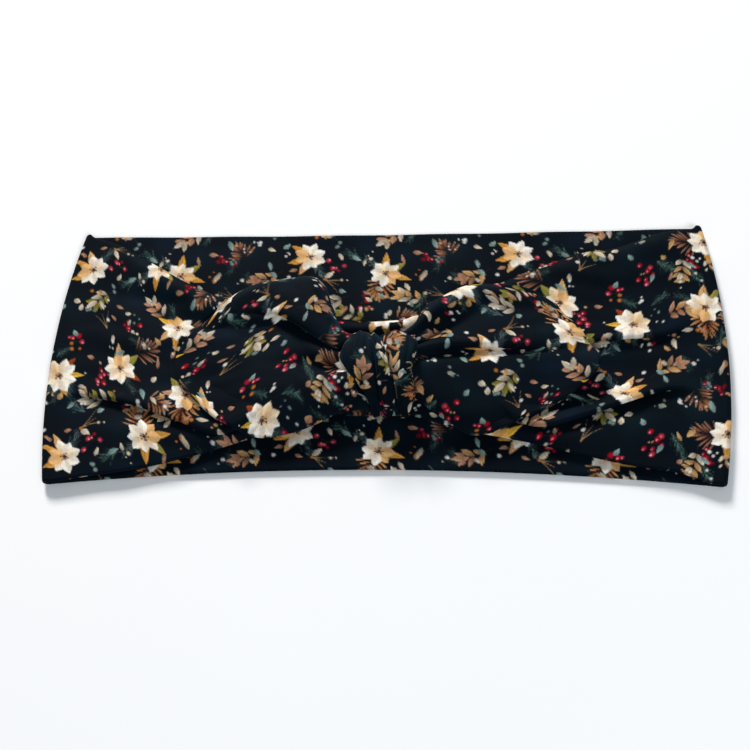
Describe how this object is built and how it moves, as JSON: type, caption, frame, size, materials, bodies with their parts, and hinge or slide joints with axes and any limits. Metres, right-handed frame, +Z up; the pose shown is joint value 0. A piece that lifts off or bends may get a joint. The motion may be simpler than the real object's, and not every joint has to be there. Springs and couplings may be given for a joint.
{
  "type": "knotted headband",
  "caption": "Wide loop headband of doubled printed jersey, lying flat, its front half gathered and knotted with a tie that has two broad rounded tails.",
  "frame": {"origin": "on the resting plane, below the centre of the flat loop", "axes": "+Z up from the resting plane, +X along the band towards the right side fold, +Y across the band towards its far edge"},
  "size_m": [0.25, 0.105, 0.021],
  "materials": {
    "band_face": "fine stretch jersey, soft matt face, dark blue-green ground with a dense small floral print",
    "tie_face": "the same printed jersey as the band",
    "thread": "dark matt sewing thread and seam allowance"
  },
  "bodies": {
    "back_half": {"back_outer_layer": "band_face", "back_inner_layer": "band_face", "long_seam": "thread", "left_side_fold": "band_face", "right_side_fold": "band_face"},
    "front_half": {"left_wing": "band_face", "right_wing": "band_face", "gathered_centre": "band_face", "closing_seam": "thread", "tie_under_turn": "tie_face", "knot_left_turn": "tie_face", "knot_middle_turn": "tie_face", "knot_right_turn": "tie_face", "tack_stitches": "thread"},
    "left_tail": {"left_tail": "tie_face"},
    "right_tail": {"right_tail": "tie_face"}
  },
  "joints": [
    {"name": "loop_open", "type": "slide", "parent": "back_half", "child": "front_half", "axis": [0, 0, 1], "range_m": [0, 0.03]},
    {"name": "left_tail_lift", "type": "hinge", "parent": "front_half", "child": "left_tail", "pos_m": [-0.0172, -0.012, 0.0159], "axis": [0, 1, 0], "range_deg": [0, 90]},
    {"name": "right_tail_lift", "type": "hinge", "parent": "front_half", "child": "right_tail", "pos_m": [0.0172, -0.012, 0.0159], "axis": [0, -1, 0], "range_deg": [0, 90]}
  ]
}
